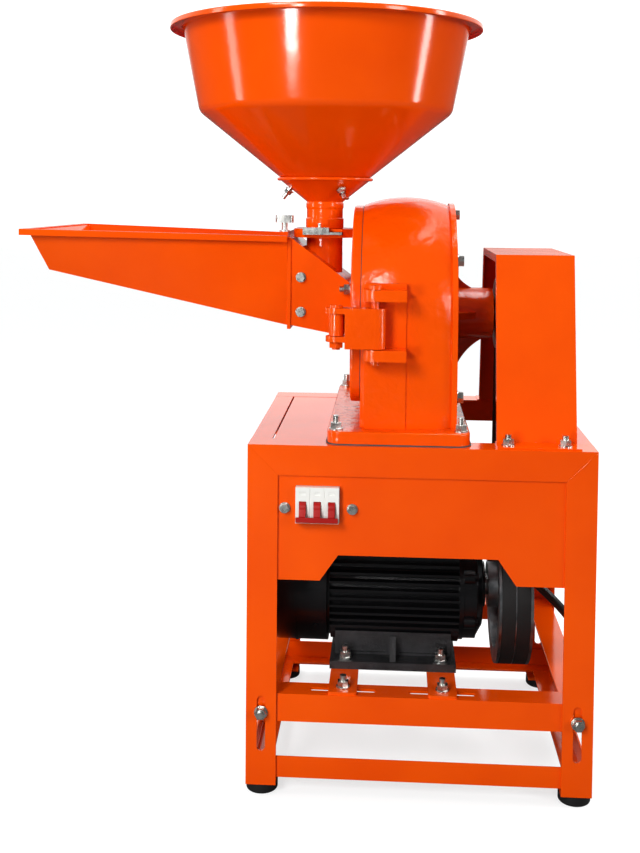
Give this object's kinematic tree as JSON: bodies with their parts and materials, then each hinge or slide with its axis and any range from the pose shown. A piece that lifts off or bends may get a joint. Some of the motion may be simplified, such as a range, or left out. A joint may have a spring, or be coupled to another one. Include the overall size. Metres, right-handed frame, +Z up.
{
  "type": "spice_grinding_mill",
  "caption": "Claw disc spice mill with steel hopper, feed tray, swing door and belt guard on an angle-steel stand, driven by an electric motor in an adjustable cradle.",
  "frame": {"origin": "On the floor at the middle of the four feet.", "axes": "X along the mill shaft, door at -X and belt guard at +X; Y away from the front panel; Z up."},
  "size_m": [0.7803, 0.5865, 0.984],
  "materials": {
    "orange_enamel": "gloss enamel",
    "zinc_plate": "bright zinc plated",
    "black_enamel": "satin enamel on cast iron",
    "turned_steel": "turned and ground",
    "cast_iron": "machined cast iron",
    "white_plastic": "moulded",
    "red_plastic": "moulded",
    "black_plastic": "moulded",
    "black_rubber": "matt",
    "gasket_board": "matt sheet"
  },
  "bodies": {
    "stand": {"leg_front_left": "orange_enamel", "leg_front_right": "orange_enamel", "legs_rear": "orange_enamel", "top_rail_front": "orange_enamel", "top_rail_rear": "orange_enamel", "top_rails_side": "orange_enamel", "bottom_rails": "orange_enamel", "rubber_feet": "black_rubber", "front_panel": "orange_enamel", "top_panel": "orange_enamel", "breaker_body": "white_plastic", "panel_bolts": "zinc_plate", "mill_casing": "orange_enamel", "base_gasket": "gasket_board", "mill_bolts": "zinc_plate", "bearing_bracket": "orange_enamel", "mill_bearings": "turned_steel", "bearing_cover": "orange_enamel", "screen_ring": "turned_steel", "belt_guard": "orange_enamel", "discharge_duct": "orange_enamel", "drive_belts": "black_rubber", "cable_gland": "black_plastic", "supply_cord": "black_rubber", "cord_coil": "black_rubber", "supply_plug": "black_plastic"},
    "mill_rotor": {"mill_shaft": "turned_steel", "rotor": "cast_iron", "mill_pulley": "cast_iron"},
    "cradle": {"cradle_rails": "orange_enamel", "cradle_side_rails": "orange_enamel", "motor_rails": "orange_enamel", "cradle_bolts": "zinc_plate", "motor_bolts": "zinc_plate", "motor_foot": "black_enamel", "motor_body": "black_enamel", "motor_end_bell": "black_enamel", "fan_cowl": "black_enamel", "terminal_box": "black_enamel"},
    "motor_rotor": {"motor_shaft": "turned_steel", "motor_fan": "black_plastic", "motor_pulley": "cast_iron"},
    "toggles": {"breaker_toggles": "red_plastic"},
    "link": {"hinge_link": "orange_enamel", "hinge_pins": "zinc_plate"},
    "door_unit": {"door": "orange_enamel", "door_gasket": "gasket_board", "tooth_ring": "cast_iron", "chute": "orange_enamel", "tray": "orange_enamel", "feed_bolts": "zinc_plate", "hopper": "orange_enamel", "hopper_collar": "orange_enamel", "gate_housing": "orange_enamel"},
    "slide": {"slide_gate": "zinc_plate"},
    "tray_shutter": {"tray_gate": "orange_enamel", "gate_handle": "zinc_plate"},
    "swing_bolt": {"lock_bolt": "zinc_plate"},
    "hand_nut": {"lock_nut": "zinc_plate"}
  },
  "joints": [
    {"name": "mill_spin", "type": "hinge", "parent": "stand", "child": "mill_rotor", "pos_m": [0, 0, 0.592], "axis": [1, 0, 0], "continuous": true},
    {"name": "cradle_slide", "type": "slide", "parent": "stand", "child": "cradle", "axis": [0, 0, 1], "range_m": [-0.01, 0.014], "deforming": ["drive_belts"]},
    {"name": "motor_spin", "type": "hinge", "parent": "cradle", "child": "motor_rotor", "pos_m": [0, -0.03, 0.222], "axis": [1, 0, 0], "continuous": true},
    {"name": "toggle_throw", "type": "hinge", "parent": "stand", "child": "toggles", "pos_m": [-0.1275, -0.19, 0.3655], "axis": [-1, 0, 0], "range_deg": [0, 60]},
    {"name": "link_hinge", "type": "hinge", "parent": "stand", "child": "link", "pos_m": [-0.059, -0.178, 0.59], "axis": [0, 0, 1], "range_deg": [0, 60]},
    {"name": "door_hinge", "type": "hinge", "parent": "link", "child": "door_unit", "pos_m": [-0.107, -0.178, 0.59], "axis": [0, 0, 1], "range_deg": [0, 115]},
    {"name": "slide_gate_pull", "type": "slide", "parent": "door_unit", "child": "slide", "axis": [0, -1, 0], "range_m": [0, 0.05]},
    {"name": "tray_gate_lift", "type": "slide", "parent": "door_unit", "child": "tray_shutter", "axis": [0, 0, 1], "range_m": [0, 0.035]},
    {"name": "lock_swing", "type": "hinge", "parent": "stand", "child": "swing_bolt", "pos_m": [-0.06, 0.176, 0.592], "axis": [0, 1, 0], "range_deg": [0, 90]},
    {"name": "hand_nut_run", "type": "slide", "parent": "swing_bolt", "child": "hand_nut", "axis": [0, 0, 1], "range_m": [0, 0.0085]}
  ],
  "couplings": [
    {"joint": "mill_spin", "follows": "motor_spin", "ratio": 2.2706}
  ]
}
